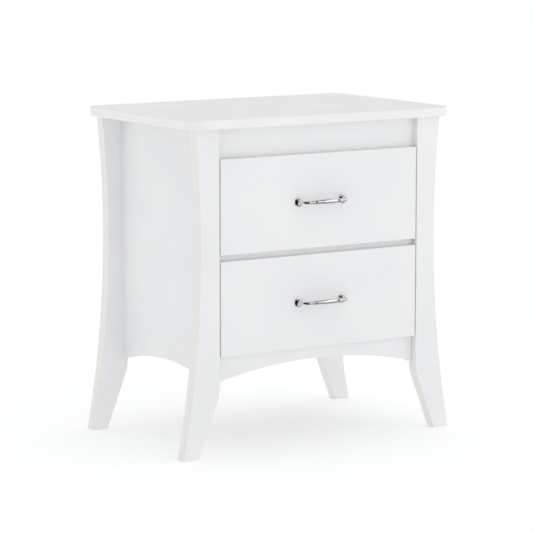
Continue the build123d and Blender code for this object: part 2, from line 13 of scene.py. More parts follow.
import bpy
import numpy as np
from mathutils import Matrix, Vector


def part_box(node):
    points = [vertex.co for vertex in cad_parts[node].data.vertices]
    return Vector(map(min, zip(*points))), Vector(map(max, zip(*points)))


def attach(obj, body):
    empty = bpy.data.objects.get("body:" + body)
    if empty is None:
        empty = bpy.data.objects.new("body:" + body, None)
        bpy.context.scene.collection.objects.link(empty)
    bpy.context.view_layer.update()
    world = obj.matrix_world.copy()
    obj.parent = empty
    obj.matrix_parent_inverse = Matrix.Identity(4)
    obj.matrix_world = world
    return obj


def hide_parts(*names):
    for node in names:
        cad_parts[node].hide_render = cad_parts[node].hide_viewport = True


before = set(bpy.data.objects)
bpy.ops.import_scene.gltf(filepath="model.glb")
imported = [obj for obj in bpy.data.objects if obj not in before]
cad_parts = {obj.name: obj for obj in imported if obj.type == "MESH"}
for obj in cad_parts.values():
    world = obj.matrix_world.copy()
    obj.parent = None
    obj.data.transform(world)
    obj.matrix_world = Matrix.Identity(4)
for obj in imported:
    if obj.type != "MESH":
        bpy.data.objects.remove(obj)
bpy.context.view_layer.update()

# %% [markdown]
# ## The camera
#
# Furniture is best shown through a long lens from a good distance, so that the legs stay
# nearly upright on the page. The camera stands five metres off, to the left of the
# drawers and a little above the top. An azimuth, an elevation and a distance from the point
# that it looks at say this more plainly than three coordinates would.

# %% Camera
AIM = np.array((0.0045, 0.0176, 0.3059))
AZIMUTH, ELEVATION, DISTANCE = math.radians(-32.855), math.radians(8.311), 5.05
SENSOR_MM = 36.0
LENS_MM = 180.85

towards_camera = np.array((
    math.sin(AZIMUTH) * math.cos(ELEVATION),
    -math.cos(AZIMUTH) * math.cos(ELEVATION),
    math.sin(ELEVATION),
))
camera = bpy.data.objects.new("studio_camera", bpy.data.cameras.new("studio_camera"))
camera.data.sensor_width = SENSOR_MM
camera.data.lens = LENS_MM
camera.location = AIM + DISTANCE * towards_camera
camera.rotation_euler = (math.pi / 2 - ELEVATION, 0.0, AZIMUTH)
bpy.context.scene.collection.objects.link(camera)
bpy.context.scene.camera = camera
bpy.context.scene.view_settings.view_transform = "Standard"
print("camera at", [round(v, 3) for v in camera.location])

# %% [markdown]
# ## From a grid of points to a mesh
#
# Every new surface here is a grid: rings of points, one after another along a path. Numpy
# works out all the points at once, and quads join each ring to the next. The first and the
# last ring are closed by a face each, so a piece is one sealed shell. If the shell turns out
# to hold a negative volume, it is inside out, and all its faces are turned round.

# %% Grid to mesh
scene = bpy.context.scene


def ring_quads(rings, sides):
    """Quads between neighbouring rings: corner (i, j) joins (i, j + 1), (i + 1, j + 1) and (i + 1, j)."""
    i, j = np.meshgrid(np.arange(rings - 1), np.arange(sides), indexing="ij")
    k = (j + 1) % sides
    corners = (i * sides + j, i * sides + k, (i + 1) * sides + k, (i + 1) * sides + j)
    return np.stack(corners, axis=-1).reshape(-1, 4)


def shell_volume(points, quads):
    """Volume inside a shell of quads: each half quad and the origin span a sixth of a box product."""
    a, b, c, d = (points[quads[:, n]] for n in range(4))
    return (np.einsum("ij,ij->i", a, np.cross(b, c)) + np.einsum("ij,ij->i", a, np.cross(c, d))).sum() / 6


def cap_area_sign(points, quads, rings, sides):
    """Sign of the closed shell's volume, with both end caps taken as fans round their first corner."""
    first, last = points[:sides], points[-sides:]
    ends = sum(
        sign * np.einsum("j,ij->", ring[0], np.cross(ring[1:-1], ring[2:])) / 6
        for sign, ring in ((-1.0, first), (1.0, last)))
    return np.sign(shell_volume(points, quads) + ends)


def sealed_mesh(name, grid, marks=None):
    """Mesh of a (rings, sides, 3) grid, smooth, facing outwards; marks are point attributes by name."""
    rings, sides, _ = grid.shape
    points = grid.reshape(-1, 3)
    quads = ring_quads(rings, sides)
    start = np.arange(sides)
    caps = [start[::-1], start + (rings - 1) * sides]
    if cap_area_sign(points, quads, rings, sides) < 0:
        quads = quads[:, ::-1]
        caps = [cap[::-1] for cap in caps]
    mesh = bpy.data.meshes.new(name)
    mesh.from_pydata(points, [], [*quads.tolist(), *[cap.tolist() for cap in caps]])
    mesh.shade_smooth()
    for mark, values in (marks or {}).items():
        attribute = mesh.attributes.new(mark, "FLOAT", "POINT")
        attribute.data.foreach_set("value", np.ascontiguousarray(values, dtype=np.float32).ravel())
    return mesh


print("ring_quads(3, 4) makes", len(ring_quads(3, 4)), "quads")

# %% [markdown]
# ## A softened board
#
# Nearly everything in this nightstand is a board. Its ring is a rectangle with rounded
# corners, and the ring is carried along one axis, while its limits may drift on the way: a
# leg's outline swings out, an apron's lower edge rises to an arch. At each end the ring draws
# in along a quarter circle, so all twelve edges of the board are softened. A loop of points a
# few millimetres inside each edge keeps the flat faces flat, and two marks travel with the
# points: "edge", where hands and cloths rub, and "banding", on the narrow edged sides.

# %% Rings of a board
EASE = 0.0009
MARGIN = 0.003
CORNER_SIGNS = np.array(((1, 1), (-1, 1), (-1, -1), (1, -1)))
AXES = {"x": (1, 2, 0), "y": (2, 0, 1), "z": (0, 1, 2)}


def ring_table(steps):
    """Points of a rounded rectangle: corner signs, shares of the corner radius, and support flags.

    Corner n turns from n quarter turns to n + 1. A point at angle t lies a share 1 - |cos t| of
    the radius in from the sharp corner one way and 1 - |sin t| the other way. Before and after
    each corner a support point lies a radius and a margin away along the flat side.
    """
    turn = (np.arange(4)[:, None] + np.linspace(0, 1, steps + 1)) * np.pi / 2
    share = 1 - np.abs(np.stack((np.cos(turn), np.sin(turn)), axis=-1))
    flip = np.arange(4) % 2
    before = np.stack((flip, 1 - flip), axis=-1)[:, None]
    after = 1 - before
    shares = np.concatenate((before, share, after), axis=1)
    support = np.zeros(shares.shape)
    support[:, 0] = before[:, 0]
    support[:, -1] = after[:, 0]
    signs = np.repeat(CORNER_SIGNS[:, None], steps + 3, axis=1)
    return signs.reshape(-1, 2), shares.reshape(-1, 2), support.reshape(-1, 2)


def board_rings(axis, along, across, thick, ease=EASE, corner=None, steps=4, margin=MARGIN, banded=None):
    """Grid and marks of a board carried along an axis.

    along holds the stations; across and thick give the ring's limits there, as a pair of
    numbers or of functions of the station. Near an end the ring draws in by ease (1 - sin t)
    while the station moves by ease (1 - cos t). banded is 0 or 1 where the sides across or
    through the board are edged strips.
    """
    radius = corner or ease * 1.15
    start, end = along[0], along[-1]
    t = np.linspace(0, np.pi / 2, steps + 1)
    tuck = np.concatenate(([0.0], ease * (1 - np.cos(t)), [ease + margin]))
    draw = np.concatenate(([margin], ease * (1 - np.sin(t)), [0.0]))
    rub = np.concatenate(([0.0], np.ones(steps + 1), [0.0]))
    middle = np.asarray(along[1:-1], dtype=float)
    middle = middle[(middle > start + ease + margin) & (middle < end - ease - margin)]
    station = np.concatenate((start + tuck, middle, (end - tuck)[::-1]))
    inset = np.concatenate((draw, 0 * middle, draw[::-1]))
    worn_end = np.concatenate((rub, 0 * middle, rub[::-1]))

    signs, shares, support = ring_table(steps)
    round_off = np.maximum(radius - inset, radius * 0.12)[:, None, None] * shares
    offset = inset[:, None, None] + round_off + support * margin
    grid = np.empty((len(station), len(signs), 3))
    for n, limits in enumerate((across, thick)):
        low, high = (f(station) if callable(f) else np.full(len(station), f) for f in limits)
        low, high = low[:, None], high[:, None]
        grid[..., AXES[axis][n]] = np.where(signs[:, n] > 0, high - offset[..., n], low + offset[..., n])
    grid[..., AXES[axis][2]] = station[:, None]

    on_corner = 1.0 - support.max(axis=1) if corner is None else np.zeros(len(signs))
    edge = np.maximum(on_corner[None], worn_end[:, None])
    banding = np.zeros(edge.shape)
    if banded is not None:
        banding += (shares[:, banded] < 0.5)[None]
    return grid, {"edge": edge, "banding": banding}


def finish_piece(name, mesh, body, slot, *nodes, harden=True):
    """Make the object, give it even shading on its flat faces, and hand it to its CAD body."""
    piece = bpy.data.objects.new(name, mesh)
    scene.collection.objects.link(piece)
    if harden:
        weighted = piece.modifiers.new("even_shading", "WEIGHTED_NORMAL")
        weighted.weight = 100
    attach(piece, body)
    if nodes:
        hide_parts(*nodes)
    return piece


def limits(node, axis_name):
    """Lowest and highest value of a CAD node along x, y or z."""
    low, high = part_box(node)
    n = "xyz".index(axis_name)
    return low[n], high[n]


signs, shares, support = ring_table(4)
print("a board's ring has", len(signs), "points")

# %% [markdown]
# ## The top
#
# The top is a board with large rounded corners in plan and only a slightly softened rim, so
# here the ring is the plan outline and it is carried upwards through the thickness. Twenty-
# four steps to a corner are enough for its outline to look round from close by.

# %% Top panel
TOP_CORNER, TOP_EASE = 0.036, 0.0015
lacquered = []
grid, marks = board_rings(
    "z", limits("top_panel", "z"), limits("top_panel", "x"), limits("top_panel", "y"),
    ease=TOP_EASE, corner=TOP_CORNER, steps=24)
top = finish_piece("top_board", sealed_mesh("top_board", grid, marks), "root", "white_lacquer", "top_panel")
lacquered.append(top)
print("top:", grid.shape[0], "rings of", grid.shape[1], "points")

# %% [markdown]
# ## The sabre legs
#
# Each leg is sawn from a flat board. Its outer edge is one long arc that comes in to a waist
# and swings out to the foot. Its inner edge drops straight and then turns outwards through a
# knee. Both edges are formulas of the height alone, which is all that the board helper asks.

# %% Leg outlines
LEG_INNER, LEG_TOP_Z = 0.216, 0.593
KNEE_R, KNEE_Z, FOOT_INNER = 0.080, 0.115, 0.261
OUTER_POINTS = np.array(((0.293, 0.0), (0.256, 0.375), (0.2675, 0.593)))


def circle_through(points):
    """Centre and radius of the circle through three points, from the two chord bisectors."""
    a, b, c = points
    normals = 2 * np.array((b - a, c - b))
    centre = np.linalg.solve(normals, np.array((b @ b - a @ a, c @ c - b @ b)))
    return centre, np.linalg.norm(a - centre)


ARC_CENTRE, ARC_R = circle_through(OUTER_POINTS)
LEAN = math.atan2(FOOT_INNER - LEG_INNER, KNEE_Z)
TANGENT = KNEE_R * math.tan(LEAN / 2)


def leg_outer(z):
    """Outer edge: the near side of a circle, centre x - sqrt(radius^2 - (z - centre z)^2)."""
    return ARC_CENTRE[0] - np.sqrt(ARC_R**2 - (z - ARC_CENTRE[1]) ** 2)


def leg_inner(z):
    """Inner edge: upright, then a knee arc of the given radius, then a straight line to the foot."""
    drop = np.clip(KNEE_Z + TANGENT - z, 0, KNEE_R * math.sin(LEAN))
    knee = LEG_INNER + KNEE_R - np.sqrt(KNEE_R**2 - drop**2)
    run_out = np.maximum(KNEE_Z - TANGENT * math.cos(LEAN) - z, 0) * math.tan(LEAN)
    return knee + run_out


foot_edges = [round(float(edge(0.0)), 4) for edge in (leg_inner, leg_outer)]
print("outer arc radius", round(ARC_R, 3), "m; the foot runs between", foot_edges)

# %% Four legs
heights = np.concatenate(([0.0], np.linspace(0.006, 0.15, 30), np.linspace(0.16, 0.588, 40), [LEG_TOP_Z]))
for place in ("front", "rear"):
    for side, sign in (("right", 1), ("left", -1)):
        node = f"{place}_leg_{side}"
        edges = (leg_inner, leg_outer) if sign > 0 else (lambda z: -leg_outer(z), lambda z: -leg_inner(z))
        grid, marks = board_rings("z", heights, edges, limits(node, "y"), banded=0)
        shell = sealed_mesh(node, grid, marks)
        lacquered.append(finish_piece(f"{node}_board", shell, "root", "white_lacquer", node))
print("legs:", len(lacquered) - 1, "of", grid.size // 3, "points each")

# %% [markdown]
# ## Rails and apron
#
# Three boards tie the front legs together: a top rail, a thin rail between the drawers and an
# apron whose lower edge rises to a shallow arch. The middle rail and the apron are carried
# across the piece as boards whose back steps in at both ends, since each end has a tongue that
# passes in front of the side panel and reaches the leg. The top rail and both side panels keep
# their CAD meshes, because these hold the pockets of the cam locks, and a plain board would
# hide the pockets.

# %% Front rails
APRON_END_Z, APRON_CROWN_Z = 0.1325, 0.1585
apron_centre, apron_r = circle_through(np.array(
    ((-LEG_INNER, APRON_END_Z), (0.0, APRON_CROWN_Z), (LEG_INNER, APRON_END_Z))))


def apron_low(x):
    """Lower edge of the apron: the upper side of a circle, centre z + sqrt(radius^2 - x^2)."""
    return apron_centre[1] + np.sqrt(apron_r**2 - x**2)


PANEL_INNER, TONGUE = 0.2095, 0.009
STEP_STATIONS = PANEL_INNER + np.array((-0.0003, 0.0003))
across = np.unique(np.concatenate((np.linspace(-LEG_INNER, LEG_INNER, 61), STEP_STATIONS, -STEP_STATIONS)))
rail_y = limits("front_apron", "y")


def rail_back(x):
    """Back of a rail: its full thickness between the side panels, the tongue's thickness beyond."""
    return np.where(np.abs(x) < PANEL_INNER, rail_y[1], rail_y[0] + TONGUE)


def rail_face(x):
    """Front face of a rail, the same all the way."""
    return rail_y[0] + 0.0 * x


apron_z = (apron_low, limits("front_apron", "z")[1])
for name, rail_z in (("front_apron", apron_z), ("front_middle_rail", limits("front_middle_rail", "z"))):
    grid, marks = board_rings("x", across, (rail_face, rail_back), rail_z, margin=0.0025)
    shell = sealed_mesh(name, grid, marks)
    lacquered.append(finish_piece(f"{name}_board", shell, "root", "white_lacquer", name))
print("apron arch radius:", round(apron_r, 2), "m")

# %% [markdown]
# ## Drawer fronts
#
# A drawer front is a plain board, hung two millimetres clear of the legs. It rides on its
# drawer, so it comes out with the handle when the drawer is pulled.

# %% Drawer fronts
DRAWERS = ("upper", "lower")
for drawer in DRAWERS:
    node = f"{drawer}_drawer_front"
    grid, marks = board_rings("x", limits(node, "x"), limits(node, "y"), limits(node, "z"))
    shell = sealed_mesh(node, grid, marks)
    lacquered.append(finish_piece(f"{node}_board", shell, f"{drawer}_drawer", "white_lacquer", node))
print("drawer front:", [round(v, 4) for v in (*limits(node, "x"), *limits(node, "z"))])

# %% [markdown]
# ## Handles
#
# The handle is a turned bow: a trumpet-shaped base on each screw, a slim neck that bends
# through a quarter turn, and a bar that swells to the middle between two pairs of beads. All
# of it is one circle carried along a bent path, and only the radius changes on the way, so a
# list of radii against the distance along the path says everything about its turning.

# %% Handle path and turning profile
REACH, ELBOW_R, BASE_X = 0.022, 0.011, 0.048
NECK_R, BASE_R = 0.0030, 0.00875
STRAIGHT = REACH - ELBOW_R
BEND = ELBOW_R * np.pi / 2
HALF_WAY = STRAIGHT + BEND + BASE_X - ELBOW_R


def cubic(start, first, second, end, count):
    """Points of a cubic curve: the four control points weighted by (1-t)^3, 3t(1-t)^2, 3t^2(1-t) and t^3."""
    t = np.linspace(0, 1, count)[:, None]
    weights = np.hstack(((1 - t) ** 3, 3 * t * (1 - t) ** 2, 3 * t**2 * (1 - t), t**3))
    return weights @ np.array((start, first, second, end))


def bead(centre, foot, crown, half_width, count=13):
    """A turned bead: radius foot + (crown - foot) times the square root of 1 - u^2 across its width."""
    u = np.sin(np.linspace(-np.pi / 2, np.pi / 2, count))
    rise = (crown - foot) * np.sqrt(np.maximum(1 - u**2, 0))
    return np.column_stack((centre + half_width * u, foot + rise))


def from_middle(x):
    """Distance along the path of the place x away from the bar's middle."""
    return HALF_WAY - x


rim = np.array(((0.0, 0.0081), (0.00008, 0.0084), (0.0003, 0.00865), (0.0006, BASE_R), (0.0011, BASE_R)))
trumpet = cubic((0.0014, 0.0086), (0.0020, 0.0055), (0.0054, NECK_R), (0.009, NECK_R), 22)
neck_s = np.concatenate(([0.0100], np.linspace(STRAIGHT, STRAIGHT + BEND, 25)))
neck = np.column_stack((neck_s, np.full(len(neck_s), NECK_R)))
swell = cubic(
    (from_middle(0.0368), NECK_R), (from_middle(0.034), NECK_R), (from_middle(0.032), 0.0037),
    (from_middle(0.0285), 0.0037), 12)
outer_bead = bead(from_middle(0.0260), 0.00372, 0.0045, 0.00075)
inner_bead = bead(from_middle(0.0232), 0.00384, 0.0045, 0.00075)
barrel_x = np.linspace(0.0218, 0.0, 20)
barrel = np.column_stack((from_middle(barrel_x), 0.0050 - 0.0010 * (barrel_x / 0.021) ** 2))
turning = np.vstack((rim, trumpet, neck, swell, outer_bead, inner_bead, barrel))
print("half a handle has", len(turning), "rings over", round(turning[-1, 0] * 1000, 1), "mm")

# %% Handles on the drawers
HANDLE_SIDES = 40


def handle_rings(face_y, height):
    """Grid of a handle: rings round a path that runs out, turns a quarter and runs across.

    The turned angle is the distance past the straight part over the bend radius, held between
    0 and a right angle. A ring lies across the path, its points at radius r and angle p placed
    at centre + r cos(p) sideways + r sin(p) upwards. The other half is the mirror image.
    """
    s, r = turning[:, 0], turning[:, 1]
    angle = np.clip((s - STRAIGHT) / ELBOW_R, 0, np.pi / 2)
    x = -BASE_X + ELBOW_R * (1 - np.cos(angle)) + np.maximum(s - STRAIGHT - BEND, 0)
    y = face_y - np.minimum(s, STRAIGHT) - ELBOW_R * np.sin(angle)
    p = np.linspace(0, 2 * np.pi, HANDLE_SIDES, endpoint=False)
    sideways = r[:, None] * np.cos(p)
    grid = np.stack((
        x[:, None] + sideways * np.cos(angle)[:, None],
        y[:, None] + sideways * np.sin(angle)[:, None],
        height + r[:, None] * np.sin(p)), axis=-1)
    return np.concatenate((grid, grid[-2::-1] * (-1, 1, 1)))


handles = []
for drawer in DRAWERS:
    node = f"{drawer}_handle"
    low_z, high_z = limits(node, "z")
    grid = handle_rings(limits(node, "y")[1], (low_z + high_z) / 2)
    shell = sealed_mesh(node, grid)
    handles.append(finish_piece(f"{node}_turned", shell, f"{drawer}_drawer", "chrome", node, harden=False))
print("handles:", grid.shape[0], "rings of", HANDLE_SIDES, "points")

# %% [markdown]
# ## Helpers for finishes
#
# A finish is a Principled shader fed by noise in Object coordinates, so that the pattern has
# a real size in metres and sits still on the piece. Four small helpers are enough for all of
# them: a noise that may be stretched along a grain, a range that turns noise into a useful
# number, a blend of two colours, and a bump with its height in metres.

# %% Finish helpers
def new_finish(name, metallic=0.0):
    """An empty finish: its material, node tree, shader and Object coordinates."""
    material = bpy.data.materials.new(name)
    material.use_nodes = True
    tree = material.node_tree
    shader = tree.nodes["Principled BSDF"]
    shader.inputs["Metallic"].default_value = metallic
    place = tree.nodes.new("ShaderNodeTexCoord").outputs["Object"]
    return material, tree, shader, place


def noise(tree, place, per_metre, stretch=(1, 1, 1), detail=2.0, distortion=0.0):
    """Noise with about per_metre cells to the metre, divided by stretch along each axis."""
    mapping = tree.nodes.new("ShaderNodeMapping")
    mapping.inputs["Scale"].default_value = [1 / s for s in stretch]
    tree.links.new(place, mapping.inputs["Vector"])
    texture = tree.nodes.new("ShaderNodeTexNoise")
    texture.inputs["Scale"].default_value = per_metre
    texture.inputs["Detail"].default_value = detail
    texture.inputs["Distortion"].default_value = distortion
    tree.links.new(mapping.outputs["Vector"], texture.inputs["Vector"])
    return texture.outputs["Fac"]


def in_range(tree, value, low, high, start=0.35, end=0.65):
    """A value between start and end turned into one between low and high, and held there."""
    node = tree.nodes.new("ShaderNodeMapRange")
    for socket, number in (("From Min", start), ("From Max", end), ("To Min", low), ("To Max", high)):
        node.inputs[socket].default_value = number
    tree.links.new(value, node.inputs["Value"])
    return node.outputs["Result"]


def combine(tree, operation, first, second):
    """Two values put together; the second may be a plain number."""
    node = tree.nodes.new("ShaderNodeMath")
    node.operation = operation
    tree.links.new(first, node.inputs[0])
    if isinstance(second, (int, float)):
        node.inputs[1].default_value = second
    else:
        tree.links.new(second, node.inputs[1])
    return node.outputs["Value"]


def blend_colours(tree, share, first, second):
    """Colour that goes from first to second with share; each is a socket or three numbers."""
    node = tree.nodes.new("ShaderNodeMix")
    node.data_type = "RGBA"
    tree.links.new(share, node.inputs["Factor"])
    for socket, colour in (("A", first), ("B", second)):
        target = [s for s in node.inputs if s.name == socket and s.type == "RGBA"][0]
        if isinstance(colour, tuple):
            target.default_value = (*colour, 1.0)
        else:
            tree.links.new(colour, target)
    return [s for s in node.outputs if s.type == "RGBA"][0]


def bump(tree, height, depth, under=None, strength=1.0):
    """Bump whose height, 0 to 1, stands for a depth in metres; it may lie on another bump."""
    node = tree.nodes.new("ShaderNodeBump")
    node.inputs["Distance"].default_value = depth
    node.inputs["Strength"].default_value = strength
    tree.links.new(height, node.inputs["Height"])
    if under is not None:
        tree.links.new(under, node.inputs["Normal"])
    return node.outputs["Normal"]


def mark(tree, name):
    """A point attribute of the piece, such as edge or banding; 0 where a mesh has none."""
    node = tree.nodes.new("ShaderNodeAttribute")
    node.attribute_name = name
    return node.outputs["Fac"]


print("helpers: noise, in_range, combine, blend_colours, bump, mark")

# %% [markdown]
# ## White lacquer
#
# The boards and legs are sprayed with a satin white lacquer. Sprayed lacquer is never quite
# even: it has the fine dimples called orange peel, slow waves from sanding, and a tone that
# drifts a little across a board. Along the edges the coat is thin and gets rubbed, so it is
# warmer and duller there, in patches. The sawn edges of the legs are edged with a strip that
# is a shade creamier than the faces. The top is a little warmer than the upright boards, and
# lighter too, as painted light that brightens the top. The rail between the drawers gets a
# lighter colour for the render's sake alone, as painted light: the gap in front of it comes
# out too dark otherwise.

# %% White lacquer
LACQUER_LIGHT, LACQUER_DEEP = (0.895, 0.900, 0.904), (0.866, 0.873, 0.881)
# Top colours: a little warmer than the rest, and lighter as painted light that brightens the top.
TOP_PAINTED_LIGHT_PALE, TOP_PAINTED_LIGHT_DEEP = (0.915, 0.910, 0.905), (0.890, 0.885, 0.880)
# Rail colours: lighter as painted light, against the shade in the gap in front of the rail.
RAIL_PAINTED_LIGHT_PALE, RAIL_PAINTED_LIGHT_DEEP = (0.945, 0.950, 0.955), (0.925, 0.931, 0.937)
EDGING_CREAM, RUBBED_WARM = (0.862, 0.850, 0.812), (0.710, 0.675, 0.610)


def lacquer_finish(name, light=LACQUER_LIGHT, deep=LACQUER_DEEP):
    """Satin lacquer: a drifting tone, cream edging, rubbed edges, orange peel over sanding waves."""
    material, tree, shader, place = new_finish(name)
    tone = blend_colours(tree, in_range(tree, noise(tree, place, 7.0, detail=3.0), 0, 1), light, deep)
    edging = combine(tree, "MULTIPLY", mark(tree, "banding"), 0.85)
    tone = blend_colours(tree, edging, tone, EDGING_CREAM)
    patches = in_range(tree, noise(tree, place, 30.0, detail=2.0), 0.0, 0.12, 0.40, 0.75)
    rubbed = combine(tree, "MULTIPLY", mark(tree, "edge"), patches)
    tree.links.new(blend_colours(tree, rubbed, tone, RUBBED_WARM), shader.inputs["Base Color"])
    sheen = in_range(tree, noise(tree, place, 22.0, detail=3.0), 0.36, 0.47)
    duller = combine(tree, "MULTIPLY", rubbed, 0.25)
    tree.links.new(combine(tree, "ADD", sheen, duller), shader.inputs["Roughness"])
    waves = bump(tree, noise(tree, place, 26.0, detail=1.0), 0.00022, strength=0.35)
    peel = bump(tree, noise(tree, place, 620.0, detail=1.5), 0.00003, under=waves, strength=0.6)
    tree.links.new(peel, shader.inputs["Normal"])
    return material


white_lacquer = lacquer_finish("white_lacquer")
# The top's copy of the lacquer is painted light: a lighter colour that brightens the top.
top_lacquer_painted_light = lacquer_finish("top_lacquer_painted_light", TOP_PAINTED_LIGHT_PALE, TOP_PAINTED_LIGHT_DEEP)
# The rail's copy of the lacquer is painted light: a lighter colour against the shade of the gap.
rail_lacquer_painted_light = lacquer_finish("rail_lacquer_painted_light", RAIL_PAINTED_LIGHT_PALE, RAIL_PAINTED_LIGHT_DEEP)
# Pieces that take a painted-light copy of the lacquer instead of the plain one.
painted_light_lacquer = {"top_board": top_lacquer_painted_light, "front_middle_rail_board": rail_lacquer_painted_light}
CAD_FINISH = {node: white_lacquer for node in (
    "side_panel_left", "side_panel_right", "front_top_rail", "rear_top_rail", "rear_bottom_rail")}
for piece in lacquered:
    piece.data.materials.append(painted_light_lacquer.get(piece.name, white_lacquer))
print("lacquered pieces:", len(lacquered), "and CAD nodes:", len(CAD_FINISH))

# %% [markdown]
# ## Drawer-box board and hardboard
#
# Drawer boxes are made of board with a white paper foil, which shows a faint printed grain
# along the board and a dry, even sheen. The back and the drawer bottoms are thin hardboard,
# whose white face has a fine pebbled fibre texture. Grain is only noise that is stretched
# many times along one axis.

# %% Board finishes
def foil_finish(name, stretch):
    """White paper foil: grain streaks along the stretched axis in tone, sheen and depth."""
    material, tree, shader, place = new_finish(name)
    streaks = noise(tree, place, 260.0, stretch=stretch, detail=4.0, distortion=0.4)
    tone = blend_colours(tree, in_range(tree, streaks, 0, 1), (0.80, 0.80, 0.79), (0.745, 0.745, 0.735))
    clouds = in_range(tree, noise(tree, place, 9.0, detail=2.0), 0, 0.35)
    tree.links.new(blend_colours(tree, clouds, tone, (0.76, 0.755, 0.74)), shader.inputs["Base Color"])
    tree.links.new(in_range(tree, streaks, 0.50, 0.62), shader.inputs["Roughness"])
    tree.links.new(bump(tree, streaks, 0.00004, strength=0.5), shader.inputs["Normal"])
    return material


def hardboard_finish(name):
    """White-faced hardboard: pebbled fibres a millimetre long under a dull, slightly grey coat."""
    material, tree, shader, place = new_finish(name)
    fibres = noise(tree, place, 900.0, detail=5.0, distortion=1.2)
    blotches = in_range(tree, noise(tree, place, 30.0, detail=4.0), 0, 1)
    tone = blend_colours(tree, blotches, (0.80, 0.80, 0.79), (0.775, 0.775, 0.765))
    specks = in_range(tree, fibres, 0, 0.25, 0.58, 0.72)
    tree.links.new(blend_colours(tree, specks, tone, (0.55, 0.53, 0.50)), shader.inputs["Base Color"])
    tree.links.new(in_range(tree, fibres, 0.55, 0.70), shader.inputs["Roughness"])
    tree.links.new(bump(tree, fibres, 0.00006, strength=0.5), shader.inputs["Normal"])
    return material


foil_along_y = foil_finish("box_foil_along_y", (1, 14, 1))
foil_along_x = foil_finish("box_foil_along_x", (14, 1, 1))
hardboard = hardboard_finish("white_hardboard")
CAD_FINISH["back_panel"] = hardboard
for drawer in DRAWERS:
    CAD_FINISH[f"{drawer}_drawer_side_left"] = CAD_FINISH[f"{drawer}_drawer_side_right"] = foil_along_y
    CAD_FINISH[f"{drawer}_drawer_back"] = foil_along_x
    CAD_FINISH[f"{drawer}_drawer_bottom"] = hardboard
print("nodes with a finish so far:", len(CAD_FINISH))

# %% [markdown]
# ## Dowel beech
#
# Dowels are turned from beech: pale brown, with fine lines along the grain and short darker
# flecks. They are hidden in their joints, but they are pieces of the object like the others.

# %% Dowel beech
def beech_finish(name, stretch):
    """Beech: grain lines and flecks stretched along the dowel, open pores as shallow grooves."""
    material, tree, shader, place = new_finish(name)
    grain = noise(tree, place, 900.0, stretch=stretch, detail=4.0, distortion=0.5)
    flecks = in_range(tree, noise(tree, place, 1500.0, stretch=stretch, detail=2.0), 0, 0.6, 0.60, 0.70)
    tone = blend_colours(tree, in_range(tree, grain, 0, 1), (0.62, 0.42, 0.25), (0.50, 0.31, 0.17))
    tree.links.new(blend_colours(tree, flecks, tone, (0.33, 0.18, 0.09)), shader.inputs["Base Color"])
    tree.links.new(in_range(tree, grain, 0.52, 0.68), shader.inputs["Roughness"])
    tree.links.new(bump(tree, grain, 0.00005), shader.inputs["Normal"])
    return material


beech_across = beech_finish("beech_across", (12, 1, 1))
beech_deep = beech_finish("beech_deep", (1, 12, 1))
CAD_FINISH["front_rail_dowels"] = CAD_FINISH["rear_rail_dowels"] = beech_across
CAD_FINISH["side_panel_dowels"] = beech_deep
print("dowel finishes:", beech_across.name, beech_deep.name)

# %% [markdown]
# ## Metals
#
# The handles are chrome over die-cast zinc: a mirror whose polish wavers very slightly and
# which carries a haze of fine wipe marks. Slides are rolled from zinc-plated strip, dull and
# streaked along their length. Balls are ground steel, cam locks are raw die castings with a
# grainy skin, and screws have a bright zinc coat with a trace of yellow. One helper makes all
# of these, and the numbers tell them apart.

# %% Metal finishes
def metal_finish(name, light, dark, rough, per_metre, stretch=(1, 1, 1), grain_depth=0.00001):
    """Metal: clouds from light to dark, roughness in a range, and a grain of a given size and depth."""
    material, tree, shader, place = new_finish(name, metallic=1.0)
    clouds = in_range(tree, noise(tree, place, 40.0, detail=3.0), 0, 1)
    grain = noise(tree, place, per_metre, stretch=stretch, detail=3.0)
    tone = blend_colours(tree, clouds, light, dark)
    tree.links.new(tone, shader.inputs["Base Color"])
    tree.links.new(in_range(tree, grain, *rough), shader.inputs["Roughness"])
    tree.links.new(bump(tree, grain, grain_depth, strength=0.5), shader.inputs["Normal"])
    return material


chrome = metal_finish(
    "chrome", (0.80, 0.795, 0.81), (0.74, 0.745, 0.76), (0.02, 0.06), 260.0, grain_depth=0.000008)
slide_zinc = metal_finish(
    "slide_zinc", (0.66, 0.67, 0.68), (0.54, 0.56, 0.58), (0.24, 0.42), 1400.0, (1, 30, 1), 0.00002)
bearing_steel = metal_finish("bearing_steel", (0.74, 0.74, 0.75), (0.66, 0.66, 0.67), (0.08, 0.18), 2500.0)
screw_zinc = metal_finish(
    "screw_zinc", (0.72, 0.71, 0.66), (0.60, 0.59, 0.54), (0.22, 0.38), 1800.0, grain_depth=0.00002)
cam_casting = metal_finish(
    "cam_casting", (0.50, 0.51, 0.52), (0.38, 0.39, 0.40), (0.42, 0.62), 3000.0, grain_depth=0.00005)

for piece in handles:
    piece.data.materials.append(chrome)
CAD_FINISH.update({
    "top_cam_discs": cam_casting, "top_cam_bolts": screw_zinc, "back_panel_nails": screw_zinc,
    "slide_screws": screw_zinc})
for drawer in DRAWERS:
    for part, finish in (
            *((f"slide_{member}_{side}", slide_zinc)
              for member in ("outer", "inner", "cage") for side in ("left", "right")),
            ("slide_balls", bearing_steel), ("slide_inner_screws", screw_zinc), ("handle_screws", screw_zinc),
            ("drawer_cam_discs", cam_casting), ("drawer_cam_bolts", screw_zinc),
            ("drawer_screws", screw_zinc)):
        CAD_FINISH[f"{drawer}_{part}"] = finish
print("metals:", [m.name for m in (chrome, slide_zinc, bearing_steel, screw_zinc, cam_casting)])

# %% [markdown]
# ## Finishes on the CAD nodes
#
# A CAD node keeps its mesh and only gets a new material in its slots. The list of nodes that
# are neither dressed here nor replaced by a new piece has to be empty.

